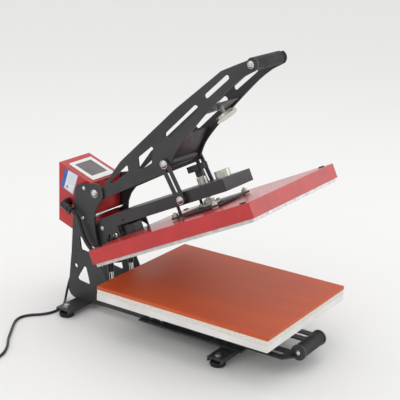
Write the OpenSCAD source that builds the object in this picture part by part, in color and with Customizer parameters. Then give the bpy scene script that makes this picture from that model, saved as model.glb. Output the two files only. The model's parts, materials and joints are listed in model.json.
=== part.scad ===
// Clamshell heat press with a magnetic lock, gas struts and a slide-out lower table.
// Z is up, the operator stands at -Y, and the origin is on the bench under the middle
// of the machine without its mains cord. Lengths in millimetres, angles in degrees.

/* [Platens] */
// Width of the lower platen and its pad
platen_w = 400; // [360:5:480]
// Depth of the lower platen and its pad
platen_d = 500; // [480:5:600]
// Thickness of the silicone pad
pad_t = 9; // [5:1:15]
// Thickness of the foam board under the pad
foam_t = 12; // [6:1:20]
// Thickness of the white steel table
table_t = 17.5; // [10:0.5:25]
// Height of the upper cover
cover_h = 37.5; // [30:0.5:60]
// How far the cover stands out beyond the pad on each side
cover_over = 12; // [6:1:20]
// How far the cover stands out beyond the pad at the front and at the back
cover_over_d = 2; // [2:0.5:10]
// Thickness of the aluminium heat plate that shows below the cover
heat_t = 8.5; // [6:0.5:16]
// Sheet thickness of the covers
sheet = 1.5; // [1:0.25:3]

/* [Stand] */
// Height of the pad's top above the bench
pad_z = 143; // [135:1:170]
// Outer distance between the side plates
frame_w = 152; // [140:1:190]
// Thickness of the side plates, lever plates and links
plate_t = 5; // [4:0.5:6]
// Length of a foot bar
foot_bar_l = 314; // [260:2:360]
// Width of a foot bar
foot_bar_w = 42; // [36:1:50]
// Radius of a rubber foot
foot_r = 20; // [14:0.5:20]
// Radius of the arm's pivot shaft
pivot_r = 9; // [7:0.5:11]

/* [Motion] */
// How far the upper platen opens
open_angle = 26.2; // [20:0.1:27]
// How far the lever turns while the platen opens
lever_angle = 44.5; // [40:0.5:46]
// How far the lower table pulls out
drawer_travel = 250; // [100:10:260]

/* [Arm and lever] */
// Outer width of the arm
arm_w = 126; // [110:1:134]
// Height of the arm
arm_h = 31; // [26:1:36]
// Radius of the hand grip
grip_r = 16; // [12:0.5:18]
// Radius of the electromagnet
magnet_r = 20; // [15:0.5:25]
// Radius of the strike disc
strike_r = 29; // [22:0.5:32]
// Radius of the star knob
knob_r = 27; // [20:0.5:32]
// Radius of the pressure spindle
spindle_r = 7; // [5:0.5:9]

/* [Control box] */
// Width of the control box
box_w = 126; // [110:1:134]
// Depth of the control box
box_d = 108; // [90:1:120]
// Height of the control box
box_h = 163; // [140:1:180]
// Slope of the display face
box_slope = 19; // [10:1:24]

/* [Cord] */
// Diameter of the mains cord
cord_d = 7; // [6:0.5:8]
// Diameter of the heater lead between the control box and the platen
lead_d = 11; // [8:0.5:12]

/* [Hidden] */
$fn = 48;

run = 0.05;             // radial clearance of a pin that turns in its bore
gap = 0.5;              // side clearance between plates that pass each other
black = [0.15, 0.15, 0.16];
red = [0.76, 0.13, 0.12];
steel = [0.78, 0.78, 0.76];
white = [0.92, 0.92, 0.91];

// side to side, each value is a distance from the middle plane
side_out = frame_w / 2;
side_in = side_out - plate_t;
lever_out = side_in - 2 * gap;
lever_in = lever_out - plate_t;
arm_out = arm_w / 2;
arm_wall = 5;
link_in = lever_out + gap;
link_out = link_in + plate_t;

// front to back and up, machine standing on the bench
half_d = platen_d / 2;
pivot = [half_d + 110.5, pad_z + 34];       // arm pivot
hinge = [half_d + 107, pad_z + 193.5];      // lever pivot
box_front = half_d + 129;
box_rear = box_front + box_d;
bar_top = 25;
bar_t = 4;
bar_leg = 12;
rear_bar_y = half_d + 148;
front_bar_y = -82;
rail_end = -120;
rail_y1 = half_d - 57;
strut_foot = [half_d + 65, 58];
strut_x = 44;
pull_y = -(half_d + 7);
pull_z = 53;
pull_lobe_r = 20;

// the arm and the upper platen are drawn shut and level, then raised
lead_gap = 0.5;                              // heat plate above the pad when shut
heat_z = pad_z + lead_gap;
cover_z = heat_z + heat_t;
cover_top = cover_z + cover_h;
arm_top = pad_z + 107;
arm_bot = arm_top - arm_h;
magnet_y = -66;
arm_front = magnet_y - 39;
arm_bend = [pivot[0] - 70.5, pivot[1]];
link_low = [pivot[0] - 331.7, arm_top - 17.2];
strut_top = [pivot[0] - 47.4, pivot[1] + 47.9];
magnet_h = 20;
guide_x = 50;
guide_y = link_low[0] + 33.2;                // the guide studs stand behind the link pins
bracket_d = 2 * (guide_y + 10.5);
bracket_w = 164;
bracket_z = cover_top + 2;
bracket_t = 5;
flange_z = bracket_z + bracket_t;
flange_h = 13;
knob_z = arm_top + 33;
knob_h = 20;
knob_neck = 12;
bush_h = 19;

// the lever is drawn raised, from its pivot
link_top = [hinge[0] - 216.5, hinge[1] + 119.5];
grip_at = [hinge[0] - 447, hinge[1] + 399.5];
strike_t = 8;
strike_gap = 0.3;
strike_mid = turn([magnet_y, arm_top + magnet_h + strike_gap + strike_t / 2], hinge, lever_angle);
strike_plate_up = 27;

rear_y = box_rear + sheet;
front_y = pull_y - pull_lobe_r;
mid_y = (rear_y + front_y) / 2;

// a point turned about a pivot so that the front goes up
function turn(p, about, a) = let (d = p - about)
    about + [d[0] * cos(a) + d[1] * sin(a), -d[0] * sin(a) + d[1] * cos(a)];

module at_origin() { translate([0, -mid_y, 0]) children(); }
module raise(about, a) {
    translate([0, about[0], about[1]]) rotate([-a, 0, 0]) translate([0, -about[0], -about[1]]) children();
}
module raised() { at_origin() raise(pivot, open_angle) children(); }
// a flat outline drawn in (Y, Z) and given a thickness from x0 towards +X
module side(x0, t) { translate([x0, 0, 0]) rotate([90, 0, 90]) linear_extrude(t) children(); }
module both() { for (m = [0, 1]) mirror([m, 0, 0]) children(); }
module x_rod(x0, x1, at, r) { translate([x0, at[0], at[1]]) rotate([0, 90, 0]) cylinder(h = x1 - x0, r = r); }
module block(a, b) { translate(a) cube(b - a); }
// points along an arc round c, from angle a0 to angle a1
function arc(c, r, a0, a1, n = 14) =
    [for (i = [0:n]) let (a = a0 + (a1 - a0) * i / n) c + r * [cos(a), sin(a)]];
function heading(a, b) = atan2(b[1] - a[1], b[0] - a[0]);
// a straight slot with round ends, from the centres of its ends
module slot2d(a, b, r) {
    t = heading(a, b);
    polygon(concat(arc(b, r, t - 90, t + 90), arc(a, r, t + 90, t + 270)));
}
// a window with rounded corners, from the corner centres going counterclockwise
function part_turn(a) = a < 0 ? a + 360 : a;
module web2d(pts, r) {
    n = len(pts);
    polygon([for (i = [0:n - 1]) let (
        t0 = heading(pts[(i + n - 1) % n], pts[i]),
        t1 = t0 + part_turn(heading(pts[i], pts[(i + 1) % n]) - t0))
        each arc(pts[i], r, t0 - 90, t1 - 90, 6)]);
}
module plate2d(w, d, r) {
    square([w - 2 * r, d], center = true);
    square([w, d - 2 * r], center = true);
    for (x = [-1, 1], y = [-1, 1]) translate([x * (w / 2 - r), y * (d / 2 - r)]) circle(r);
}
module plate(w, d, h, r, z0, y0 = 0) { translate([0, y0, z0]) linear_extrude(h) plate2d(w, d, r); }
// a button head with its washer, on a rod that ends at x1
module dome(x1, at, r) {
    translate([x1, at[0], at[1]]) rotate([0, 90, 0]) {
        cylinder(h = 1.5, r = r * 1.15);
        translate([0, 0, 1.5]) intersection() {
            cylinder(h = r, r = r);
            translate([0, 0, -r * 0.45]) sphere(r * 1.12);
        }
    }
}

// ---- frame ----
side_bolt_rear = [half_d + 142.4, pad_z + 201.4];
side_bolt_low = [half_d + 144, pad_z + 118];
rail_screws = [rail_y1 - 29, rail_y1 - 62, -31, -63];
rail_screw_z = bar_top + 13;
web_top = bar_top + 38;
rail_flange_t = 5;

side_corner = [half_d + 168, bar_top + 26];
side_lobe = [half_d + 148, pad_z + 186];
toe_front = half_d - 130;
toe_z = bar_top + rail_flange_t + 0.2;
module side_outline() {
    // counterclockwise: front lobe, front edge, toe, lower corner, rear edge, rear lobe
    back = half_d;
    polygon(concat(
        arc(hinge, 27, 75, 210),
        [[back + 98, pad_z + 160], [back + 106, pad_z + 137], [back + 107, pad_z + 118],
            [back + 104, pad_z + 92],
        [back + 94, pad_z + 53], [back + 82, pad_z - 9], [back + 64, pad_z - 42], [back + 55, web_top + 8],
        [back + 40, web_top], [toe_front, web_top], [toe_front, toe_z],
            [rail_y1 + gap, toe_z], [rail_y1 + gap, bar_top]],
        arc(side_corner, 26, -90, 0),
        [[back + 184, pad_z + 17], [back + 179.5, pad_z + 107]],
        arc(side_lobe, 26, 0, 100)));
}
module side_windows() {
    back = half_d;
    web2d([[back + 122, pad_z + 27], [back + 148, pad_z + 30], [back + 153, pad_z + 59]], 4);
    web2d([[back + 127, pad_z - 62], [back + 157, pad_z - 58], [back + 138, pad_z - 25]], 6);
    translate([back + 167, pad_z + 3]) circle(2.5);
    translate([back + 157, pad_z + 24]) circle(2.8);
    translate([back + 169, pad_z - 24]) circle(6);
}
module square_to(a, b) { translate(a) square(b - a); }
module side_plate() {
    difference() {
        side(side_in, plate_t) side_outline();
        side(side_in - 1, plate_t + 2) side_windows();
        x_rod(side_in - 1, side_out + 1, pivot, pivot_r);
        x_rod(side_in - 1, side_out + 1, hinge, 8);
        for (p = [side_bolt_rear, side_bolt_low, strut_foot]) x_rod(side_in - 1, side_out + 1, p, 4);
        for (y = [rail_screws[0], rail_screws[1]]) x_rod(side_in - 1, side_out + 1, [y, rail_screw_z], 3);
    }
}
module left_side_plate() { color(black) at_origin() mirror([1, 0, 0]) side_plate(); }
module right_side_plate() { color(black) at_origin() side_plate(); }

foot_x = foot_bar_l / 2 - 18;
bar_ys = [front_bar_y, rear_bar_y];
module foot_bar() {
    difference() {
        block([-foot_bar_l / 2, -foot_bar_w / 2, bar_top - bar_leg], [foot_bar_l / 2, foot_bar_w / 2, bar_top]);
        block([-foot_bar_l, -foot_bar_w / 2 + bar_t, 0], [foot_bar_l, foot_bar_w / 2 - bar_t, bar_top - bar_t]);
        for (s = [-1, 1]) translate([s * foot_x, 0, 0]) cylinder(h = 40, r = 5.2);
    }
}
module foot_bars() { color(black) at_origin() for (y = bar_ys) translate([0, y, 0]) foot_bar(); }
module rubber_feet() {
    color([0.08, 0.08, 0.09]) at_origin() for (y = bar_ys, s = [-1, 1]) translate([s * foot_x, y, 0]) {
        difference() {
            union() {
                cylinder(h = 4, r1 = foot_r - 2, r2 = foot_r);
                translate([0, 0, 4]) cylinder(h = 6, r = foot_r);
                translate([0, 0, 10]) cylinder(h = 2.5, r1 = foot_r, r2 = foot_r - 3);
                translate([0, 0, 12.5]) cylinder(h = bar_top - bar_t - 12.5, r = 9);
            }
            translate([0, 0, 6]) cylinder(h = 30, r = 5);
        }
    }
}
module base_rail() {
    difference() {
        union() {
            block([side_in - 10, rail_end, bar_top], [side_in + 22, rail_y1, bar_top + rail_flange_t]);
            block([side_in - plate_t, rail_end, bar_top], [side_in, half_d + 50, web_top]);
        }
        for (y = rail_screws) x_rod(side_in - 20, side_in + 20, [y, rail_screw_z], 3);
    }
}
module base_rails() { color(black) at_origin() both() base_rail(); }
module base_fasteners() {
    color(steel) at_origin() {
        for (y = bar_ys, s = [-1, 1]) translate([s * foot_x, y, 0]) {
            translate([0, 0, 6]) cylinder(h = bar_top - 6, r = 5);
            translate([0, 0, bar_top]) cylinder(h = 1.5, r = 9);
            translate([0, 0, bar_top + 1.5]) cylinder(h = 5, r = 7.5, $fn = 6);
        }
        both() for (i = [0:3]) {
            face = i < 2 ? side_out : side_in;
            x_rod(side_in - plate_t, face, [rail_screws[i], rail_screw_z], 3);
            dome(face, [rail_screws[i], rail_screw_z], 5.5);
        }
    }
}
slide_z = [33, 61];
slide_x = side_in - plate_t;
slide_depth = 13;
slide_len = drawer_travel + 50;
slide_y1 = rail_end + 2 + slide_len;
inner_z = [38, 56];
inner_w = 7;
module slide_outers() {
    color([0.7, 0.71, 0.72]) at_origin() both() difference() {
        block([slide_x - slide_depth, rail_end + 2, slide_z[0]], [slide_x, slide_y1, slide_z[1]]);
        block([slide_x - slide_depth - 1, rail_end, inner_z[0] - 0.4],
            [slide_x - slide_depth + inner_w + 0.4, slide_y1 + 1, inner_z[1] + 0.4]);
    }
}
rod_r = 5;
tie_rod = [box_front - 8, pad_z + 124];
module cross_rods() {
    color(steel) at_origin() {
        // the two rods that also carry the control box, outside its walls
        for (p = [side_bolt_rear, side_bolt_low]) both() {
            x_rod(box_w / 2, side_in, p, rod_r);
            x_rod(side_in, side_out, p, 4);
            dome(side_out, p, 4.6);
        }
        x_rod(-side_in, side_in, tie_rod, rod_r);
        // the rod that carries the struts' lower eyes
        x_rod(-side_in, side_in, strut_foot, 6);
        both() { x_rod(side_in, side_out, strut_foot, 4); dome(side_out, strut_foot, 6); }
    }
}
module lever_pivot_bolts() {
    color(steel) at_origin() both() {
        x_rod(lever_in - 2, side_out, hinge, 8 - run);
        x_rod(arm_out - 2.5, lever_in - 2, hinge, 11);
        dome(side_out, hinge, 9.5);
    }
}
module arm_pivot_shaft() {
    color(steel) at_origin() {
        x_rod(-side_out, side_out, pivot, pivot_r - run);
        both() dome(side_out, pivot, 10);
    }
}

// ---- control box ----
function drop(y) = (box_rear - y) * tan(box_slope);
box_bot_z = pad_z + 88.7;
box_top_z = box_bot_z + box_h;
module box_outline(inset) {
    polygon([[box_front + inset, box_bot_z - drop(box_front) + inset], [box_rear - inset, box_bot_z + inset],
        [box_rear - inset, box_top_z - inset], [box_front + inset, box_top_z - drop(box_front) - inset]]);
}
elbow_at = [box_rear - 33, pad_z + 147];
gland_y = box_rear - 25;
gland_x = -20;
gland_z = box_bot_z - drop(gland_y);
switch_z = box_bot_z + 35;
switch_size = [28, 22];
module box_shell() {
    color(red) at_origin() difference() {
        side(-box_w / 2, box_w) box_outline(0);
        side(-box_w / 2 + sheet, box_w - 2 * sheet) box_outline(sheet);
        block([-box_w / 2 + sheet, box_rear - sheet - 1, box_bot_z + sheet],
            [box_w / 2 - sheet, box_rear + 1, box_top_z - sheet]);
        x_rod(-box_w, 0, elbow_at, 8);
        translate([gland_x, gland_y, gland_z - 10]) cylinder(h = 30, r = 6.5);
    }
}
module box_back() {
    color(red) at_origin() difference() {
        block([-box_w / 2, box_rear, box_bot_z], [box_w / 2, box_rear + sheet, box_top_z]);
        for (i = [0:5], s = [-1, 1]) translate([s * 26, box_rear - 1, box_bot_z + 70 + i * 10])
            rotate([-90, 0, 0]) translate([0, 0, 0]) linear_extrude(5) slot2d([-14, 0], [14, 0], 2);
        block([-switch_size[0] / 2, box_rear - 1, switch_z - switch_size[1] / 2],
            [switch_size[0] / 2, box_rear + 5, switch_z + switch_size[1] / 2]);
    }
}
// things that lie on the sloping face, from its middle
module on_display_face() {
    mid = box_front + 48;
    at_origin() translate([0, mid, box_top_z - drop(mid)]) rotate([box_slope, 0, 0]) children();
}
bezel = [94, 90];
screen = [68, 62];
module display_bezel() {
    color(white) on_display_face() difference() {
        plate(bezel[0], bezel[1], 2.5, 4, 0.02);
        translate([0, 3, -1]) linear_extrude(5) square([screen[0], screen[1]], center = true);
    }
}
module display_screen() {
    color([0.42, 0.4, 0.42]) on_display_face()
        translate([0, 3, 0.02]) linear_extrude(1.6) square([screen[0] - 0.2, screen[1] - 0.2], center = true);
}
module control_board() {
    color([0.1, 0.4, 0.2]) at_origin() {
        z0 = box_bot_z + 8;
        block([-45, box_rear - 22, z0], [45, box_rear - 20.4, z0 + 100]);
        block([-38, box_rear - 50, z0 + 20], [-8, box_rear - 22, z0 + 56]);
        block([6, box_rear - 40, z0 + 14], [34, box_rear - 22, z0 + 48]);
        for (s = [-1, 1], z = [4, 94]) translate([s * 40, box_rear - 20.4, z0 + z]) rotate([-90, 0, 0])
            cylinder(h = 20.4, r = 3);
    }
}
gland_r = 10;
module cord_gland() {
    color(black) at_origin() translate([gland_x, gland_y, gland_z]) {
        translate([0, 0, -9]) cylinder(h = 9 - 0.3 - gland_r * tan(box_slope), r = gland_r);
        translate([0, 0, -9]) cylinder(h = 16, r = 6.4);
        translate([0, 0, -39]) cylinder(h = 30, r1 = cord_d / 2 + 0.6, r2 = 6);
    }
}
elbow_x = -(side_out + 12);
elbow_nose = [elbow_at[0] - 29, elbow_at[1] - 12];
module lead_elbow() {
    color(black) at_origin() {
        x_rod(-box_w / 2 - 3, -box_w / 2 + 4, elbow_at, 7.9);
        x_rod(-box_w / 2 - 8, -box_w / 2, elbow_at, 12);
        x_rod(elbow_x, -box_w / 2 - 8, elbow_at, 9);
        translate([elbow_x, elbow_at[0], elbow_at[1]]) {
            sphere(9);
            rotate([90 + atan2(12, 29), 0, 0]) {
                cylinder(h = norm([29, 12]), r = 8.8);
                translate([0, 0, 8]) cylinder(h = 14, r = 10.5);
            }
        }
    }
}
module switch_frame() {
    color(black) at_origin() difference() {
        union() {
            block([-switch_size[0] / 2 - 2, box_rear + sheet, switch_z - switch_size[1] / 2 - 2],
                [switch_size[0] / 2 + 2, box_rear + sheet + 2, switch_z + switch_size[1] / 2 + 2]);
            block([-switch_size[0] / 2 + 0.1, box_rear - 18, switch_z - switch_size[1] / 2 + 0.1],
                [switch_size[0] / 2 - 0.1, box_rear + sheet, switch_z + switch_size[1] / 2 - 0.1]);
        }
        block([-12, box_rear - 14, switch_z - 9], [12, box_rear + 9, switch_z + 9]);
    }
}
rocker_tilt = 8;
module power_rocker() {
    color([0.75, 0.1, 0.1]) at_origin() translate([0, box_rear + sheet - 1, switch_z])
        rotate([rocker_tilt, 0, 0])
        intersection() {
            block([-11.5, -8, -8], [11.5, 6, 8]);
            difference() {
                rotate([0, 90, 0]) cylinder(h = 40, r = 8.3, center = true);
                x_rod(-20, 20, [15.2, 0], 13);
            }
        }
}

// ---- swept leads ----
// a smooth curve through the route's points, rings of eight sides swept along it
function at_curve(p, i, t) =
    let (n = len(p) - 1, a = p[max(i - 1, 0)], b = p[i], c = p[min(i + 1, n)], d = p[min(i + 2, n)])
    0.5 * (2 * b + (c - a) * t + (2 * a - 5 * b + 4 * c - d) * t * t + (3 * b - a - 3 * c + d) * t * t * t);
function curve(p, k) = [for (i = [0:len(p) - 2], j = [0:k - 1]) at_curve(p, i, j / k), p[len(p) - 1]];
function unit(v) = v / norm(v);
function ring_dirs(c) = [for (i = [0:len(c) - 1]) unit(c[min(i + 1, len(c) - 1)] - c[max(i - 1, 0)])];
function carry(d, i, u) =
    i == len(d) ? [] : let (v = unit(u - (u * d[i]) * d[i])) concat([v], carry(d, i + 1, v));
module sweep(route, k, r, start, sides = 8) {
    c = curve(route, k);
    d = ring_dirs(c);
    u = carry(d, 0, start);
    n = len(c);
    pts = [for (i = [0:n - 1], j = [0:sides - 1]) let (a = 360 * j / sides)
        c[i] + r * (cos(a) * u[i] + sin(a) * cross(d[i], u[i]))];
    walls = [for (i = [0:n - 2], j = [0:sides - 1]) let (q = (j + 1) % sides)
        [i * sides + j, (i + 1) * sides + j, (i + 1) * sides + q, i * sides + q]];
    caps = [[for (j = [0:sides - 1]) j], [for (j = [sides - 1:-1:0]) (n - 1) * sides + j]];
    polyhedron(pts, concat(walls, caps));
}
term_y = [half_d - 32, half_d + 10];
term_x = [-50, -16];
term_h = 23;
term_mouth = turn([term_y[1] + 8, cover_top + 11], pivot, open_angle);
lead_x = -30;
lead_route = [[elbow_x, elbow_nose[0] - 0.3, elbow_nose[1] - 0.1],
    [-88.5, elbow_nose[0] - 11, elbow_nose[1] - 4.7],
    [-89, 401, 260], [-90, 389, 233], [-90, 373, 203], [-90, 351, 183], [-87, 328, 171], [-79, 310, 164],
    [-68, 295, 161], [-56, 284, 161], [-44, 278, 165], [-34, 279, 176], [-29, 290, 192], [-28.5, 301, 204],
    [-29, 307, 216], [lead_x, 305, 227], [lead_x, term_mouth[0] + 10.5, term_mouth[1] - 5],
    [lead_x, term_mouth[0] + 0.5, term_mouth[1] - 0.2]];
module heater_lead() { color(black) at_origin() sweep(lead_route, 3, lead_d / 2, [1, 0, 0]); }

// ---- arm ----
module arm_cheek() {
    difference() {
        union() {
            square_to([arm_front, arm_bot], [arm_bend[0], arm_top]);
            intersection() {
                translate(arm_bend) difference() { circle(arm_top - pivot[1]); circle(28); }
                square_to([arm_bend[0] - 28, pivot[1]], [arm_bend[0] + 80, arm_top + 1]);
            }
            translate(pivot) circle(22);
            square_to([pivot[0] - 42.5, pivot[1] - 6], [pivot[0], pivot[1] + 20]);
        }
        translate([pivot[0] - 125.2, arm_top - 21]) circle(3);
    }
}
module arm_channel() {
    color(black) raised() difference() {
        union() {
            both() side(arm_out - arm_wall, arm_wall) arm_cheek();
            block([-arm_out + 1, arm_front, arm_top - arm_wall], [arm_out - 1, arm_bend[0], arm_top]);
            block([-arm_out + 1, arm_front, arm_bot], [arm_out - 1, arm_front + 4, arm_top]);
            // cross bar that guides the platen's two studs
            block([-arm_out + 1, guide_y - 14, arm_bot + 2], [arm_out - 1, guide_y + 14, arm_bot + 8]);
        }
        translate([0, 0, arm_bot - 1]) cylinder(h = 60, r = 12);
        for (s = [-1, 1]) translate([s * guide_x, guide_y, arm_bot]) cylinder(h = 12, r = 4 + run);
        x_rod(-100, 100, pivot, pivot_r + run);
        x_rod(-100, 100, link_low, 5);
        x_rod(-100, 100, strut_top, 5);
        translate([0, magnet_y, arm_top - 8]) cylinder(h = 10, r = 4);
    }
}
module spindle_bush() {
    color([0.75, 0.76, 0.74]) raised() difference() {
        union() {
            translate([0, 0, arm_top - arm_wall]) cylinder(h = arm_wall, r = 11.95);
            translate([0, 0, arm_top]) cylinder(h = bush_h, r = 12.5);
            translate([0, 0, arm_top - arm_wall - 3]) cylinder(h = 3, r = 16);
        }
        translate([0, 0, arm_top - 20]) cylinder(h = 60, r = spindle_r + run);
    }
}
module electromagnet() {
    color(steel) raised() {
        translate([0, magnet_y, arm_top - 7.5]) cylinder(h = 8, r = 3.95);
        translate([0, magnet_y, arm_top]) difference() {
            cylinder(h = magnet_h, r = magnet_r);
            translate([0, 0, magnet_h - 1]) difference() {
                cylinder(h = 2, r = magnet_r - 4);
                translate([0, 0, -1]) cylinder(h = 4, r = 8);
            }
        }
    }
}
module arm_pins() {
    color(steel) raised() {
        both() {
            x_rod(arm_out - arm_wall - 4, arm_out, link_low, 5);
            x_rod(arm_out, link_in - 0.3, link_low, 10);
            x_rod(link_in - 0.3, link_out + 0.3, link_low, 6 - run);
            dome(link_out + 0.3, link_low, 9);
            x_rod(arm_out - arm_wall - 6, arm_out - arm_wall, link_low, 9);
            dome(arm_out, strut_top, 5);
        }
        x_rod(-arm_out, arm_out, strut_top, 5 - run);
    }
}

// ---- links, drawn raised between the lever and the arm ----
link_low_up = turn(link_low, pivot, open_angle);
module link() {
    difference() {
        side(link_in, plate_t) {
            difference() {
                slot2d(link_low_up, link_top, 13.5);
                along = unit(link_top - link_low_up);
                slot2d(link_low_up + 21 * along, link_top - 18 * along, 3.5);
            }
        }
        x_rod(0, 100, link_low_up, 6);
        x_rod(0, 100, link_top, 5);
    }
}
module left_link() { color(black) at_origin() mirror([1, 0, 0]) link(); }
module right_link() { color(black) at_origin() link(); }
module link_bolts() {
    color(steel) at_origin() both() {
        x_rod(link_in, link_out, link_top, 5);
        dome(link_out, link_top, 9.5);
    }
}

// ---- upper platen ----
cover_w = platen_w + 2 * cover_over;
cover_d = platen_d + 2 * cover_over_d;
heat_in = 5;
module platen_cover() {
    color(red) raised() difference() {
        plate(cover_w, cover_d, cover_h, 3, cover_z);
        plate(cover_w - 2 * sheet, cover_d - 2 * sheet, cover_h - sheet + 1, 2, cover_z - 1);
        for (s = [-1, 1], t = [-1, 1])
            translate([s * (cover_w / 2 - 18), t * (cover_d / 2 - 26), cover_top - 5])
            cylinder(h = 10, r = 5);
        for (s = [-1, 1], t = [-1, 1])
            translate([s * (bracket_w / 2 - 10), t * (bracket_d / 2 - 10), cover_top - 5])
            cylinder(h = 10, r = 4);
        translate([(term_x[0] + term_x[1]) / 2, half_d - 16, cover_top - 5]) cylinder(h = 10, r = 6);
    }
}
module heat_plate() {
    color([0.85, 0.86, 0.85]) raised()
        plate(cover_w - 2 * heat_in, cover_d - 2 * heat_in, heat_t + 5 - 0.3, 4, heat_z);
}
module insulation_board() {
    color([0.8, 0.75, 0.6]) raised() difference() {
        plate(cover_w - 20, cover_d - 20, 19, 4, heat_z + heat_t + 4.7);
        for (s = [-1, 1], t = [-1, 1]) translate([s * (bracket_w / 2 - 10), t * (bracket_d / 2 - 10), cover_z])
            cylinder(h = 60, r = 4.5);
    }
}
module bracket_plate() {
    color(black) raised() difference() {
        union() {
            plate(bracket_w, bracket_d, bracket_t, 6, bracket_z);
            for (s = [-1, 1]) translate([s * guide_x, guide_y, bracket_z + bracket_t / 2])
                cylinder(h = arm_top - arm_wall - 9 - bracket_z - bracket_t / 2, r = 4);
        }
        for (s = [-1, 1], t = [-1, 1])
            translate([s * (bracket_w / 2 - 10), t * (bracket_d / 2 - 10), cover_top])
            cylinder(h = 20, r = 4);
    }
}
flange_r = 31;
module swivel_flange() {
    color([0.75, 0.76, 0.74]) raised() difference() {
        union() {
            translate([0, 0, flange_z]) cylinder(h = 5, r = flange_r);
            translate([0, 0, flange_z + 5]) cylinder(h = flange_h - 5, r = 15);
        }
        translate([0, 0, flange_z + 2]) cylinder(h = 30, r = spindle_r + 1 + run);
        for (a = [45:90:315]) rotate(a) translate([23, 0, flange_z - 1]) cylinder(h = 10, r = 3);
    }
}
module bracket_fasteners() {
    color(steel) raised() {
        for (s = [-1, 1], t = [-1, 1]) translate([s * (bracket_w / 2 - 10), t * (bracket_d / 2 - 10), 0]) {
            translate([0, 0, cover_top - sheet - 20])
                cylinder(h = bracket_z + 20 + sheet - cover_top + bracket_t, r = 3.9);
            translate([0, 0, cover_top]) cylinder(h = 2, r = 8);
            translate([0, 0, flange_z]) cylinder(h = 7, r = 8, $fn = 6);
            translate([0, 0, flange_z + 7]) cylinder(h = 4, r = 3.9);
        }
        for (a = [45:90:315]) rotate(a) translate([23, 0, flange_z]) {
            cylinder(h = 5, r = 2.9);
            translate([0, 0, 5]) cylinder(h = 4, r = 5);
        }
    }
}
module terminal_box() {
    color(black) raised() {
        difference() {
            block([term_x[0], term_y[0], cover_top], [term_x[1], term_y[1], cover_top + term_h]);
            block([term_x[0] + 2, term_y[0] + 2, cover_top - 1],
                [term_x[1] - 2, term_y[1] - 2, cover_top + term_h - 2]);
            translate([lead_x, term_y[1] - 5, cover_top + 11]) rotate([-90, 0, 0]) cylinder(h = 9, r = 5);
        }
        translate([lead_x, term_y[1], cover_top + 11]) rotate([-90, 0, 0]) difference() {
            cylinder(h = 8, r = 8.5);
            translate([0, 0, -1]) cylinder(h = 10, r = 4.5);
        }
    }
}
module cover_plugs() {
    color(black) raised() for (s = [-1, 1], t = [-1, 1])
        translate([s * (cover_w / 2 - 18), t * (cover_d / 2 - 26), 0]) {
        translate([0, 0, cover_top]) cylinder(h = 2.5, r = 7.5);
        translate([0, 0, cover_top - 4]) cylinder(h = 4, r = 4.9);
    }
}

// ---- pressure screw ----
module pressure_spindle() {
    color([0.5, 0.5, 0.5]) raised() {
        translate([0, 0, flange_z + 2.2]) cylinder(h = flange_h - 2, r = spindle_r + 1);
        translate([0, 0, flange_z + flange_h]) cylinder(h = knob_z - flange_z - flange_h, r = spindle_r);
        translate([0, 0, knob_z]) cylinder(h = knob_h - 6, r = spindle_r - 2);
    }
}
module star_knob() {
    color([0.1, 0.1, 0.1]) raised() translate([0, 0, knob_z]) difference() {
        union() {
            translate([0, 0, -knob_neck]) cylinder(h = knob_neck + 4, r = 10.5);
            translate([0, 0, 4]) linear_extrude(knob_h - 4) difference() {
                circle(knob_r);
                for (i = [0:5]) rotate(60 * i + 30) translate([knob_r + 4, 0]) circle(9);
            }
        }
        translate([0, 0, -knob_neck - 1]) cylinder(h = knob_neck + 1, r = spindle_r);
        translate([0, 0, -1]) cylinder(h = knob_h - 5, r = spindle_r - 2);
    }
}

// ---- lever, points from its pivot ----
module lever_outline() {
    end = grip_at - hinge;
    // counterclockwise: pivot end, upper edge, grip end, lower edge, link corner, bottom edge
    translate(hinge) polygon(concat(
        arc([0, 0], 22, -105, 140), [[-77, 99.5], [-241, 263], [-367, 374], [-404, 392.5]],
        arc(end, 18, 112, 225),
        curve([[-430, 369], [-394, 337.5], [-337, 273.5], [-297, 224], [-264, 181], [-245, 150], [-236, 124],
            [-231, 106], [-220, 97]], 3),
        [[-131, 48.5], [-24.5, -12]]));
}
module lever_windows() {
    translate(hinge) {
        web2d([[-50, 39], [-98, 89], [-99, 80]], 4);
        web2d([[-138, 119], [-174, 151], [-171, 117], [-142, 96]], 5);
        slot2d([-222, 195], [-300, 274], 8);
        slot2d([-330, 309], [-384, 361], 6);
    }
}
module lever_plate() {
    difference() {
        side(lever_in, plate_t) lever_outline();
        side(lever_in - 1, plate_t + 2) lever_windows();
        x_rod(0, 100, hinge, 8);
        x_rod(0, 100, link_top, 6);
        x_rod(0, 100, grip_at, 5);
    }
}
module left_lever_plate() { color(black) at_origin() mirror([1, 0, 0]) lever_plate(); }
module right_lever_plate() { color(black) at_origin() lever_plate(); }
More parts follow.
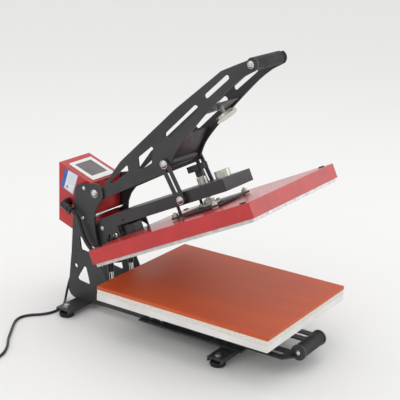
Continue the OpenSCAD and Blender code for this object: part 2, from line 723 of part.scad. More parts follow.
// strips between the lever plates, seen edge on as slots
module strip(a, b, t) { side(-lever_in, 2 * lever_in) slot2d(a, b, t / 2); }
strike_dir = [sin(lever_angle), cos(lever_angle)];
plate_mid = strike_mid + strike_plate_up * strike_dir;
plate_dir = [-strike_dir[1], strike_dir[0]];
module lever_cross_plates() {
    color([0.2, 0.2, 0.22]) at_origin() difference() {
        union() {
            strip(plate_mid - 17 * plate_dir, plate_mid + 20 * plate_dir, 4);
            strip(hinge + [-228, 134], hinge + [-256, 196], 4);
        }
        translate([0, strike_mid[0], strike_mid[1]]) rotate([-lever_angle, 0, 0]) cylinder(h = 60, r = 5);
        translate([-40, plate_mid[0], plate_mid[1]]) rotate([-lever_angle, 0, 0])
            cylinder(h = 20, r = 6, center = true);
    }
}
module cross_tube() {
    color(black) at_origin() {
        difference() {
            x_rod(-lever_in, lever_in, link_top, 13);
            x_rod(-lever_in - 1, lever_in + 1, link_top, 9.5);
        }
        both() difference() {
            x_rod(lever_in - 6, lever_in, link_top, 9.5);
            x_rod(lever_in - 7, lever_in + 1, link_top, 6);
        }
    }
}
module lever_grip() {
    color([0.1, 0.1, 0.1]) at_origin() difference() {
        x_rod(-lever_in, lever_in, grip_at, grip_r);
        x_rod(-lever_in - 1, lever_in + 1, grip_at, 6);
    }
}
module grip_bolts() {
    color(steel) at_origin() {
        both() {
            x_rod(lever_in - 30, lever_out, grip_at, 5);
            dome(lever_out, grip_at, 8);
            x_rod(lever_in - 6, lever_out - 0.4, link_top, 6);
        }
    }
}
module at_strike() {
    at_origin() translate([0, strike_mid[0], strike_mid[1]]) rotate([-lever_angle, 0, 0]) children();
}
module strike_disc() {
    color(steel) at_strike() {
        difference() {
            translate([0, 0, -strike_t / 2]) cylinder(h = strike_t, r = strike_r);
            cylinder(h = 30, r = 5);
        }
    }
}
module strike_stud() {
    color(steel) at_strike() {
        cylinder(h = strike_plate_up + 12, r = 4.95);
        translate([0, 0, strike_plate_up - 7]) cylinder(h = 5, r = 8, $fn = 6);
        translate([0, 0, strike_plate_up + 2]) cylinder(h = 5, r = 8, $fn = 6);
    }
}

// ---- gas struts, drawn open ----
strut_top_up = turn(strut_top, pivot, open_angle);
strut_dir = unit(strut_top_up - strut_foot);
strut_len = norm(strut_top_up - strut_foot);
module along_strut() {
    at_origin() for (s = [-1, 1]) translate([s * strut_x, strut_foot[0], strut_foot[1]])
        rotate([-atan2(strut_dir[0], strut_dir[1]), 0, 0]) children();
}
strut_rod_r = 6;
strut_cyl_r = 8.5;
strut_cyl_at = strut_len - 125;
strut_bore_top = strut_len - 18;
strut_stroke = 18;      // how far the rod runs in as the platen shuts
module strut_rods() {
    color([0.85, 0.85, 0.86]) along_strut() {
        difference() {
            translate([0, 0, 8]) cylinder(h = strut_bore_top - strut_stroke - 10, r = strut_rod_r);
            x_rod(-20, 20, [0, 0], 6 + run);
        }
        difference() { x_rod(-6, 6, [0, 0], 10); x_rod(-20, 20, [0, 0], 6 + run); }
    }
}
module strut_cylinders() {
    color(black) along_strut() {
        difference() {
            translate([0, 0, strut_cyl_at]) cylinder(h = strut_len - 9 - strut_cyl_at, r = strut_cyl_r);
            translate([0, 0, strut_cyl_at - 1])
                cylinder(h = strut_bore_top - strut_cyl_at + 1, r = strut_rod_r + run);
        }
        translate([0, 0, strut_len]) difference() { x_rod(-6, 6, [0, 0], 10); x_rod(-20, 20, [0, 0], 6.6); }
    }
}

// ---- slide-out table ----
table_z = pad_z - pad_t - foam_t - table_t;
deck_z = 44.2;
deck_t = 5;
post_w = 90;
table_sheet = 2;
module lower_table() {
    color(white) at_origin() difference() {
        plate(platen_w, platen_d, table_t, 4, table_z);
        plate(platen_w - 2 * table_sheet, platen_d - 2 * table_sheet, table_t - table_sheet + 1, 3,
            table_z - 1);
    }
}
module foam_layer() {
    color([0.9, 0.89, 0.84]) at_origin() plate(platen_w - 1, platen_d - 1, foam_t, 4, table_z + table_t);
}
module silicone_pad() {
    color([0.8, 0.34, 0.2]) at_origin() plate(platen_w, platen_d, pad_t, 4, pad_z - pad_t);
}
inner_x = slide_x - slide_depth + inner_w;
deck_half = slide_x - slide_depth - 1;
module slide_inners() {
    color([0.8, 0.8, 0.8]) at_origin() both()
        block([inner_x - inner_w - 1, rail_end + 2, inner_z[0]], [inner_x, slide_y1 - 4, inner_z[1]]);
}
module carriage_plate() {
    color([0.2, 0.2, 0.21]) at_origin()
        block([-deck_half, -half_d + 104, deck_z], [deck_half, slide_y1 - 4, deck_z + deck_t]);
}
module pedestal() {
    color([0.2, 0.2, 0.21]) at_origin() difference() {
        union() {
            block([-post_w / 2, -150, deck_z + deck_t], [post_w / 2, 150, table_z + table_t - table_sheet]);
            block([-150, -200, table_z], [150, -170, table_z + table_t - table_sheet]);
            block([-150, 170, table_z], [150, 200, table_z + table_t - table_sheet]);
            block([-post_w / 2, -200, table_z], [post_w / 2, 200, table_z + table_t - table_sheet]);
        }
        block([-post_w / 2 + 4, -160, deck_z + deck_t + 4], [post_w / 2 - 4, 160, table_z + table_t - 6]);
    }
}
prong_y1 = -half_d + 122;
module pull_plate() {
    color(black) at_origin() {
        translate([0, 0, deck_z - 4.2]) linear_extrude(4) difference() {
            union() {
                square_to([-91, pull_y + 24], [91, prong_y1]);
                for (m = [0, 1]) mirror([m, 0]) polygon([[91, pull_y + 34], [91, pull_y + 24], [56, pull_y],
                    [50, pull_y], [50, pull_y + 24], [33, pull_y + 28], [33, pull_y + 34]]);
            }
            square_to([-33, pull_y - 1], [33, prong_y1 - 22]);
            for (s = [-1, 1]) slot2d([s * 63, pull_y + 42], [s * 63, prong_y1 - 30], 8);
        }
        both() difference() {
            side(50, 6) union() {
                translate([pull_y, pull_z]) circle(pull_lobe_r);
                square_to([pull_y - 12, deck_z - 4.2], [pull_y + 12, pull_z]);
            }
            x_rod(40, 60, [pull_y, pull_z], 4);
        }
    }
}
module pull_roller() {
    color([0.1, 0.1, 0.1]) at_origin() difference() {
        x_rod(-49.8, 49.8, [pull_y, pull_z], pull_lobe_r - 1.5);
        x_rod(-60, 60, [pull_y, pull_z], 4.5);
    }
}
module pull_bolts() {
    color(steel) at_origin() both() {
        x_rod(30, 56, [pull_y, pull_z], 3.95);
        dome(56, [pull_y, pull_z], 5.5);
    }
}

// ---- mains cord: out of the box, down behind the frame, along the bench to its coil ----
cord_r = cord_d / 2;
lie = cord_r + 0.1;
coil_at = [-570, 345];
coil_mid_r = 38;
cord_route = [[gland_x, gland_y, gland_z - 39.05], [-21, gland_y, 150], [-24, 465, 110], [-32, 470, 70],
    [-42, 473, 40], [-54, 470, 18], [-67, 463, 7.5], [-83, 453, 4.2], [-102, 443, lie], [-128, 435, lie],
    [-158, 438, lie], [-182, 451, lie], [-202, 469, lie], [-225, 480, lie], [-251, 477, lie],
    [-278, 462, lie], [-308, 442, lie], [-346, 416, lie], [-378, 390, lie], [-412, 370, lie],
    [-448, 362, lie], [-484, 362, lie], [-518, 371, lie], [-550, 388.6, lie]];
module mains_cord() { color([0.1, 0.1, 0.1]) at_origin() sweep(cord_route, 3, cord_r, [1, 0, 0]); }
module cord_coil() {
    color([0.1, 0.1, 0.1]) at_origin() translate([coil_at[0], coil_at[1], 0.1]) rotate_extrude()
        translate([coil_mid_r - cord_d, 0]) square([2 * cord_d - 1, 2 * cord_d]);
}
module cord_plug() {
    color([0.12, 0.12, 0.12]) at_origin()
        translate([coil_at[0] - coil_mid_r - 9.8, coil_at[1] - 32, 0.1]) rotate(-90) {
        translate([0, -13, 0]) cube([34, 26, 20]);
        translate([-20, 0, 10]) rotate([0, 90, 0]) cylinder(h = 20, r1 = 4.5, r2 = 8);
        for (s = [-1, 1]) translate([34, s * 6.35 - 3, 12]) cube([17, 6, 1.5]);
        translate([34, 0, 5]) rotate([0, 90, 0]) cylinder(h = 19, r = 2.4);
    }
}

left_side_plate();
right_side_plate();
foot_bars();
rubber_feet();
base_rails();
base_fasteners();
slide_outers();
cross_rods();
lever_pivot_bolts();
arm_pivot_shaft();
box_shell();
box_back();
display_bezel();
display_screen();
control_board();
cord_gland();
lead_elbow();
switch_frame();
power_rocker();
heater_lead();
arm_channel();
spindle_bush();
electromagnet();
arm_pins();
left_link();
right_link();
link_bolts();
platen_cover();
heat_plate();
insulation_board();
bracket_plate();
bracket_fasteners();
swivel_flange();
terminal_box();
cover_plugs();
pressure_spindle();
star_knob();
left_lever_plate();
right_lever_plate();
lever_cross_plates();
cross_tube();
lever_grip();
grip_bolts();
strike_disc();
strike_stud();
strut_rods();
strut_cylinders();
lower_table();
foam_layer();
silicone_pad();
carriage_plate();
pedestal();
slide_inners();
pull_plate();
pull_roller();
pull_bolts();
mains_cord();
cord_coil();
cord_plug();
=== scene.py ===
import json
import math

import bmesh
import bpy
from mathutils import Matrix, Vector


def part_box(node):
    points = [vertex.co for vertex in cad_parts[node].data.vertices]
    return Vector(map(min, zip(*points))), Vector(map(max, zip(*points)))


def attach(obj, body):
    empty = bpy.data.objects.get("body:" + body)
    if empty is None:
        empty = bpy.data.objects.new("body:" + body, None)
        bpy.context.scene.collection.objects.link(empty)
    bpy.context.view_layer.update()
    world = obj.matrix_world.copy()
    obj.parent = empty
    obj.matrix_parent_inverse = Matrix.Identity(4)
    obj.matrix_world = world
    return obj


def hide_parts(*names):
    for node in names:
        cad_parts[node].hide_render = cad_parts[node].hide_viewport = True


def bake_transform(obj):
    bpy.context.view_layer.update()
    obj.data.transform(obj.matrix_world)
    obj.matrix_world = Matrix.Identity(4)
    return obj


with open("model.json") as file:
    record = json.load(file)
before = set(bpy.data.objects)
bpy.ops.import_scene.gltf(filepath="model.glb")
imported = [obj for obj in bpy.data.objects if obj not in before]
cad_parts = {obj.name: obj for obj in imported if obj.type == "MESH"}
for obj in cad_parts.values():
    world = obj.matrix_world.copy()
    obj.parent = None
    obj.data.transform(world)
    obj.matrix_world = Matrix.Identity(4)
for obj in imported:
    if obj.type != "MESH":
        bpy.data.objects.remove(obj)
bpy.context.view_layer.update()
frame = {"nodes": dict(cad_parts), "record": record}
mm = 0.001
middleY = 105.75  # platen centre to the machine's middle, millimetres
print("frame loaded")


def place(x, y, z):  # millimetres from the platen centre on the bench, to the row frame
    return Vector((x * mm, (y - middleY) * mm, z * mm))


# camera: a long lens from the front left, a little above the machine
camera = {
    "place": (-2.15454, -1.39781, 1.17524),
    "azimuth": -57.557,
    "elevation": 17.749,
    "roll": 2.363,
    "lens": 95.16,
    "sensor": 36.0,
}


def makeCamera():
    a, e, r = (math.radians(camera[k]) for k in ("azimuth", "elevation", "roll"))
    back = Vector((math.sin(a) * math.cos(e), -math.cos(a) * math.cos(e), math.sin(e)))
    level = Vector((math.cos(a), math.sin(a), 0))
    upright = back.cross(level)
    right = math.cos(r) * level + math.sin(r) * upright
    up = math.cos(r) * upright - math.sin(r) * level
    lens = bpy.data.cameras.new("photoCamera")
    lens.lens = camera["lens"]
    lens.sensor_width = camera["sensor"]
    lens.clip_start = 0.05
    lens.clip_end = 50
    thing = bpy.data.objects.new("photoCamera", lens)
    bpy.context.collection.objects.link(thing)
    turn = Matrix((right, up, back)).transposed().to_4x4()
    thing.matrix_world = Matrix.Translation(camera["place"]) @ turn
    bpy.context.scene.camera = thing


makeCamera()
print("camera placed")


# materials
def toLinear(hexColour):
    parts = [int(hexColour[i:i + 2], 16) / 255 for i in (1, 3, 5)]
    return [p / 12.92 if p <= 0.04045 else ((p + 0.055) / 1.055) ** 2.4 for p in parts] + [1.0]


def addNode(tree, kind, settings=None, links=None):
    node = tree.nodes.new(kind)
    for key, value in (settings or {}).items():
        if isinstance(key, int) or key in node.inputs:
            node.inputs[key].default_value = value
        else:
            setattr(node, key, value)
    for key, source in (links or {}).items():
        tree.links.new(source, node.inputs[key])
    return node


def newMaterial(name, roughness, metallic=0.0, ior=1.5, specular=0.5):
    material = bpy.data.materials.new(name)
    material.use_nodes = True
    tree = material.node_tree
    shader = tree.nodes["Principled BSDF"]
    shader.inputs["Roughness"].default_value = roughness
    shader.inputs["Metallic"].default_value = metallic
    shader.inputs["IOR"].default_value = ior
    shader.inputs["Specular IOR Level"].default_value = specular
    spot = addNode(tree, "ShaderNodeTexCoord").outputs["Object"]
    return material, tree, shader, spot


def mottle(tree, spot, size, detail=3.0):  # noise whose lumps are size millimetres across
    settings = {"Scale": 1 / (size * mm), "Detail": detail}
    return addNode(tree, "ShaderNodeTexNoise", settings, {"Vector": spot}).outputs["Fac"]


def ramp(tree, source, stops):
    node = addNode(tree, "ShaderNodeValToRGB", links={"Fac": source})
    marks = node.color_ramp.elements
    while len(marks) < len(stops):
        marks.new(0.5)
    for mark, (at, colour) in zip(marks, stops):
        mark.position = at
        mark.color = toLinear(colour) if isinstance(colour, str) else (colour, colour, colour, 1)
    return node.outputs["Color"]


def bump(tree, shader, source, strength, height):  # height in millimetres
    settings = {"Strength": strength, "Distance": height * mm}
    node = addNode(tree, "ShaderNodeBump", settings, {"Height": source})
    tree.links.new(node.outputs["Normal"], shader.inputs["Normal"])


finishes = {
    "blackPowder": {"dark": "#2c2d2f", "light": "#37383b", "rough": 0.42, "peel": 2.4},
    "redPowder": {"dark": "#b41416", "light": "#c21a1d", "rough": 0.42, "peel": 3.0},
    "whitePowder": {"dark": "#dcdad7", "light": "#e9e7e5", "rough": 0.38, "peel": 3.0},
    "zinc": {"dark": "#a9a8a2", "light": "#d6d5cf", "rough": 0.3},
    "chrome": {"dark": "#b9b9b8", "light": "#dededc", "rough": 0.12},
    "nickel": {"dark": "#aba79e", "light": "#d2cfc6", "rough": 0.24},
    "castPlate": {"dark": "#c2c1be", "light": "#dcdbd8", "rough": 0.48},
    "silicone": {"dark": "#bf4a1f", "light": "#cd5a2a", "rough": 0.42},
}


def powderCoat(name, values, gloss=0.0):
    # baked powder: an orange-peel skin that breaks up highlights, faint cloudiness in the colour
    rough = values["rough"]
    material, tree, shader, spot = newMaterial(name, rough)
    clouds = ramp(tree, mottle(tree, spot, 70), [(0.35, values["dark"]), (0.68, values["light"])])
    tree.links.new(clouds, shader.inputs["Base Color"])
    shine = ramp(tree, mottle(tree, spot, 18), [(0.3, rough - 0.05), (0.75, rough + 0.07)])
    tree.links.new(shine, shader.inputs["Roughness"])
    if gloss:  # a smooth flowed top layer that mirrors the room at a low angle
        shader.inputs["Coat Weight"].default_value = gloss
        shader.inputs["Coat Roughness"].default_value = 0.12
    # real peel is about 1 mm; drawn coarser so that it shows
    bump(tree, shader, mottle(tree, spot, values["peel"], 2.0), 0.06, 0.1)
    return material


def metal(name, values, scratchSize, scratchStretch=12.0, depth=0.05):
    # plated or turned steel: soft stains in the colour, fine left-to-right lines in the shine
    # a stretch of 1 turns the lines into the even grain of a casting
    material, tree, shader, spot = newMaterial(name, values["rough"], metallic=1.0)
    stains = ramp(tree, mottle(tree, spot, 14), [(0.3, values["dark"]), (0.7, values["light"])])
    tree.links.new(stains, shader.inputs["Base Color"])
    stretch = {"Scale": (1.0, scratchStretch, scratchStretch)}
    stretched = addNode(tree, "ShaderNodeMapping", stretch, {"Vector": spot})
    lines = mottle(tree, stretched.outputs["Vector"], scratchSize, 2.0)
    gloss = ramp(tree, lines, [(0.3, values["rough"] - 0.06), (0.75, values["rough"] + 0.12)])
    tree.links.new(gloss, shader.inputs["Roughness"])
    bump(tree, shader, lines, 0.15, depth)
    return material


def plainPlastic(name, dark, light, rough, grain, height, specular=0.5):
    # moulded, painted, fibre or printed parts: a fine grain and worn patches that shine a little
    material, tree, shader, spot = newMaterial(name, rough, specular=specular)
    patches = mottle(tree, spot, 22)
    tree.links.new(ramp(tree, patches, [(0.3, dark), (0.72, light)]), shader.inputs["Base Color"])
    shine = ramp(tree, patches, [(0.3, rough + 0.08), (0.7, rough - 0.06)])
    tree.links.new(shine, shader.inputs["Roughness"])
    bump(tree, shader, mottle(tree, spot, grain, 2.0), 0.25, height)
    return material


def siliconeSkin():
    # cast silicone sheet: satin, with a fine press grain and faint wipe marks along its length
    values = finishes["silicone"]
    material, tree, shader, spot = newMaterial("siliconeRubber", values["rough"], ior=1.41)
    wipe = addNode(tree, "ShaderNodeMapping", {"Scale": (1.0, 0.25, 1.0)}, {"Vector": spot})
    marks = mottle(tree, wipe.outputs["Vector"], 60, 4.0)
    wiped = ramp(tree, marks, [(0.3, values["dark"]), (0.7, values["light"])])
    tree.links.new(wiped, shader.inputs["Base Color"])
    gloss = ramp(tree, marks, [(0.3, values["rough"] - 0.05), (0.75, values["rough"] + 0.08)])
    tree.links.new(gloss, shader.inputs["Roughness"])
    bump(tree, shader, mottle(tree, spot, 2.5, 1.0), 0.1, 0.1)
    shader.inputs["Subsurface Weight"].default_value = 0.04
    shader.inputs["Subsurface Radius"].default_value = (0.004, 0.001, 0.0005)
    return material


def foamSide():
    # layered silicone foam: small open cells on a sawn edge, slightly yellowed, with painted shade in each
    # cell's hollow
    material, tree, shader, spot = newMaterial("siliconeFoam", 0.75, specular=0.3)
    cells = addNode(tree, "ShaderNodeTexVoronoi", {"Scale": 1 / (3.0 * mm)}, {"Vector": spot})
    # darker where the cells sink is painted shade; the yellow cast is the foam's own
    tintAndPaintedLight = ramp(tree, cells.outputs["Distance"], [(0.1, "#b9b3a6"), (0.5, "#e4e0d6")])
    tree.links.new(tintAndPaintedLight, shader.inputs["Base Color"])
    bump(tree, shader, cells.outputs["Distance"], 0.6, 0.6)
    return material


def screenFilm():
    # printed polycarbonate over a dark display: a soft uneven grey whose lighter lumps are painted sheen,
    # lightly glossy
    material, tree, shader, spot = newMaterial("displayFilm", 0.22, ior=1.58)
    # painted sheen: lighter and darker lumps of grey in the film's colour
    tintAndPaintedLight = ramp(tree, mottle(tree, spot, 40), [(0.3, "#5d585b"), (0.7, "#6d686b")])
    tree.links.new(tintAndPaintedLight, shader.inputs["Base Color"])
    bump(tree, shader, mottle(tree, spot, 1.2, 1.0), 0.05, 0.03)
    return material


materials = {
    "black_powder_coat": powderCoat("blackPowderCoat", finishes["blackPowder"]),
    "red_powder_coat": powderCoat("redPowderCoat", finishes["redPowder"], 0.5),
    "white_powder_coat": powderCoat("whitePowderCoat", finishes["whitePowder"]),
    "zinc_steel": metal("zincPlatedSteel", finishes["zinc"], 2.2),
    "chrome_steel": metal("chromedSteel", finishes["chrome"], 3.0),
    "nickel_steel": metal("turnedNickelSteel", finishes["nickel"], 1.6),
    "heat_plate_metal": metal("castAluminium", finishes["castPlate"], 5.0, 1.0, 0.2),
    "foot_rubber": plainPlastic("feetRubber", "#161617", "#212122", 0.62, 1.6, 0.12, 0.35),
    "white_plastic": plainPlastic("bezelAcrylic", "#e3e3e4", "#f0f0f0", 0.2, 3.0, 0.02),
    "screen_film": screenFilm(),
    "circuit_board": plainPlastic("boardLaminate", "#12401f", "#1b5a2c", 0.5, 3.0, 0.2),
    "black_plastic": plainPlastic("glossyNylon", "#141415", "#1d1d1f", 0.24, 1.8, 0.05),
    "cord_rubber": plainPlastic("cordPvc", "#141415", "#1c1c1e", 0.36, 1.5, 0.05),
    "plug_rubber": plainPlastic("plugPvc", "#151516", "#1f1f21", 0.45, 1.5, 0.08),
    "rocker_plastic": plainPlastic("rockerPolycarbonate", "#8f1512", "#a81d17", 0.2, 2.0, 0.03),
    "insulation_fibre": plainPlastic("mineralBoard", "#a89b80", "#c7bba1", 0.85, 1.4, 0.5, 0.2),
    "knob_plastic": plainPlastic("knobPhenolic", "#1b1b1c", "#29292b", 0.4, 1.4, 0.1),
    "grip_rubber": plainPlastic("gripFoam", "#18181a", "#242426", 0.58, 1.2, 0.3, 0.4),
    "strut_paint": plainPlastic("strutEnamel", "#111112", "#19191b", 0.2, 4.0, 0.03),
    "foam_board": foamSide(),
    "silicone_orange": siliconeSkin(),
}
slotOf = {part["node"]: part["material_slot"] for part in frame["record"]["subparts"]}
bodyOf = {node: body for body, nodes in frame["record"]["behaviour"]["bodies"].items() for node in nodes}
for nodeName, thing in frame["nodes"].items():
    thing.data.materials.clear()
    thing.data.materials.append(materials[slotOf[nodeName]])
print("materials made")


# pieces
def finishPiece(bm, name, body, slotName, replaced=(), smoothAngle=50):
    # the bmesh becomes an object with even shading that rides on its body
    mesh = bpy.data.meshes.new(name)
    bm.to_mesh(mesh)
    bm.free()
    mesh.materials.append(materials[slotName])
    for face in mesh.polygons:
        face.use_smooth = True
    mesh.set_sharp_from_angle(angle=math.radians(smoothAngle))
    thing = bpy.data.objects.new(name, mesh)
    bpy.context.collection.objects.link(thing)
    even = thing.modifiers.new("evenShading", "WEIGHTED_NORMAL")
    even.keep_sharp = True
    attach(thing, body)
    if replaced:
        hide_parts(*replaced)
    return thing


def roundEdges(bm, radius, steps=2, least=28):
    bmesh.ops.remove_doubles(bm, verts=bm.verts, dist=0.000002)
    bmesh.ops.dissolve_limit(bm, angle_limit=math.radians(0.6), verts=bm.verts, edges=bm.edges)
    limit = math.radians(least)
    edges = [e for e in bm.edges if e.is_manifold and e.calc_face_angle() > limit]
    bmesh.ops.bevel(bm, geom=edges, offset=radius * mm, offset_type="OFFSET", segments=steps,
        profile=0.5, affect="EDGES", clamp_overlap=True, material=-1)


# corner radius in millimetres of each pressed, cut or moulded piece
edgeRadius = {
    "left_side_plate": 0.6, "right_side_plate": 0.6, "left_lever_plate": 0.6, "right_lever_plate": 0.6,
    "left_link": 0.6, "right_link": 0.6, "arm_channel": 0.7, "lever_cross_plates": 0.5,
    "platen_cover": 0.7, "box_shell": 0.7, "box_back": 0.4, "bracket_plate": 0.6,
    "lower_table": 1.0, "foam_layer": 0.6, "silicone_pad": 1.3, "heat_plate": 0.8,
    "foot_bars": 0.7, "base_rails": 0.7, "pull_plate": 0.6, "display_bezel": 0.6,
    "terminal_box": 1.4, "electromagnet": 0.8, "strike_disc": 0.8, "swivel_flange": 0.6,
    "star_knob": 1.6, "pull_roller": 2.2, "lever_grip": 2.0, "rubber_feet": 0.8,
    "switch_frame": 0.5, "power_rocker": 0.5, "strut_cylinders": 0.6, "carriage_plate": 0.5,
}


def roundedPiece(nodeName, radius):
    bm = bmesh.new()
    bm.from_mesh(frame["nodes"][nodeName].data)
    roundEdges(bm, radius)
    finishPiece(bm, nodeName + "_finished", bodyOf[nodeName], slotOf[nodeName], [nodeName])


for nodeName, radius in edgeRadius.items():
    roundedPiece(nodeName, radius)
print("edges rounded")


# mains cord, its coil and its plug
mainsCord = {
    "thick": 7.0,
    # the route's points in millimetres, as in the design
    "route": [(-20, 462, 184.04), (-21, 462, 150), (-24, 465, 110), (-32, 470, 70), (-42, 473, 40),
        (-54, 470, 18), (-67, 463, 7.5), (-83, 453, 4.2), (-102, 443, 3.6), (-128, 435, 3.6),
        (-158, 438, 3.6), (-182, 451, 3.6), (-202, 469, 3.6), (-225, 480, 3.6), (-251, 477, 3.6),
        (-278, 462, 3.6), (-308, 442, 3.6), (-346, 416, 3.6), (-378, 390, 3.6), (-412, 370, 3.6),
        (-448, 362, 3.6), (-484, 362, 3.6), (-518, 371, 3.6), (-550, 388.6, 3.6)],
    "coilMiddle": (-570, 345),
    # turns so far, radius and height: lower outer, lower inner, upper inner, upper outer turn
    "lanes": [(0.0, 47.97, 3.6), (0.15, 41.5, 3.6), (0.95, 41.5, 3.6), (1.15, 34.5, 3.6),
        (1.7, 34.5, 3.6), (1.95, 34.5, 10.6), (2.55, 34.5, 10.6), (2.7, 41.5, 10.6),
        (3.218, 41.5, 10.6)],
    "plugMouth": (-47.8, -16.0, 10.1),
    "length": 1.56,
}


def smoothThrough(points, steps):
    made = []
    last = len(points) - 1
    for i in range(last):
        a, b, c, d = (points[max(0, min(last, j))] for j in (i - 1, i, i + 1, i + 2))
        for j in range(steps):
            t = j / steps
            made.append(0.5 * (2 * b + (c - a) * t + (2 * a - 5 * b + 4 * c - d) * t * t
                + (3 * b - a - 3 * c + d) * t ** 3))
    return made + [points[last]]


def easeBetween(lanes, turns):
    for (t0, r0, z0), (t1, r1, z1) in zip(lanes, lanes[1:]):
        if turns <= t1:
            s = (turns - t0) / (t1 - t0)
            s = s * s * (3 - 2 * s)
            return r0 + (r1 - r0) * s, z0 + (z1 - z0) * s
    return lanes[-1][1:]


def coilPoints(spec, perTurn=48):
    middle = spec["coilMiddle"]
    arrives = spec["route"][-1]
    start = math.atan2(arrives[1] - middle[1], arrives[0] - middle[0])
    count = round(spec["lanes"][-1][0] * perTurn)
    made = []
    for i in range(1, count + 1):
        turns = spec["lanes"][-1][0] * i / count
        r, z = easeBetween(spec["lanes"], turns)
        a = start + 2 * math.pi * turns
        made.append(place(middle[0] + r * math.cos(a), middle[1] + r * math.sin(a), z))
    return made


def joinTo(points, end, heading, steps=8):  # a smooth run from the last point into a mouth
    start = points[-1]
    first = (points[-1] - points[-2]).normalized()
    reach = (end - start).length
    made = []
    for i in range(1, steps + 1):
        t = i / steps
        made.append((2 * t ** 3 - 3 * t * t + 1) * start + (t ** 3 - 2 * t * t + t) * first * reach
            + (3 * t * t - 2 * t ** 3) * end + (t ** 3 - t * t) * heading * reach)
    return made


def tubeOf(points, thick, name, slotName):
    curve = bpy.data.curves.new(name, "CURVE")
    curve.dimensions = "3D"
    curve.bevel_depth = thick * mm / 2
    curve.bevel_resolution = 3
    curve.use_fill_caps = True
    spline = curve.splines.new("POLY")
    spline.points.add(len(points) - 1)
    for at, point in zip(spline.points, points):
        at.co = (*point, 1)
    spline.use_smooth = True
    curve.materials.append(materials[slotName])
    thing = bpy.data.objects.new(name, curve)
    bpy.context.collection.objects.link(thing)
    return thing


def ringsAlong(profile, name, body, slotName, axis, origin, replaced=(), sides=32):
    # a turned piece: profile holds (distance along, radius) pairs in millimetres
    bm = bmesh.new()
    verts = [bm.verts.new((r * mm, 0, d * mm)) for d, r in profile]
    edges = [bm.edges.new(pair) for pair in zip(verts, verts[1:])]
    bmesh.ops.spin(bm, geom=verts + edges, cent=(0, 0, 0), axis=(0, 0, 1), angle=2 * math.pi,
        steps=sides, use_merge=True)
    bmesh.ops.remove_doubles(bm, verts=bm.verts, dist=0.00001)
    bmesh.ops.recalc_face_normals(bm, faces=bm.faces)
    turn = Vector((0, 0, 1)).rotation_difference(Vector(axis).normalized()).to_matrix().to_4x4()
    bmesh.ops.transform(bm, matrix=Matrix.Translation(origin) @ turn, verts=bm.verts)
    return finishPiece(bm, name, body, slotName, replaced, 40)


# the tapered, ribbed sleeve under the control box
strainRelief = {
    "length": 30.0,
    "ribs": 7,
    "top": 6.2,
    "bottom": 4.2,
    "flange": 10.0,
    "neck": 6.4,
    "neckTop": 46.0,
}


def makeStrainRelief():
    low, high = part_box("cord_gland")
    s = strainRelief
    middle = Vector(((low.x + high.x) / 2, (low.y + high.y) / 2, low.z))
    length, top, flange, neck = (s[k] for k in ("length", "top", "flange", "neck"))
    profile = [(0, 0), (0, s["bottom"] - 0.5), (0.5, s["bottom"])]
    for i in range(s["ribs"]):
        d = 2 + i * (length - 4) / s["ribs"]
        r = s["bottom"] + (top - s["bottom"]) * d / length
        profile += [(d, r), (d + 0.4, r - 0.9), (d + 1.8, r - 0.9), (d + 2.2, r + 0.1)]
    profile += [(length, top), (length, flange - 0.6), (length + 0.6, flange), (length + 5.0, flange),
        (length + 5.2, flange - 0.6), (length + 5.2, neck), (s["neckTop"], neck), (s["neckTop"], 0)]
    return ringsAlong(profile, "strain_relief", "base", "black_plastic", (0, 0, 1), middle, ["cord_gland"])


plug = {
    "body": (34, 26, 20),
    "blade": (17, 6, 1.5),
    "bladeOut": 6.35,
    "bladeUp": 2.75,
    "pinLength": 19,
    "pinRadius": 2.4,
    "pinDown": 5.0,
    "corner": 2.6,
    "sleeve": 20,
    "sleeveEnd": 4.4,
    "taper": 2.4,
    "collar": 7.4,
    "ribs": 5,
    "ribPitch": 3.4,
    "axisUp": 10.1,
}


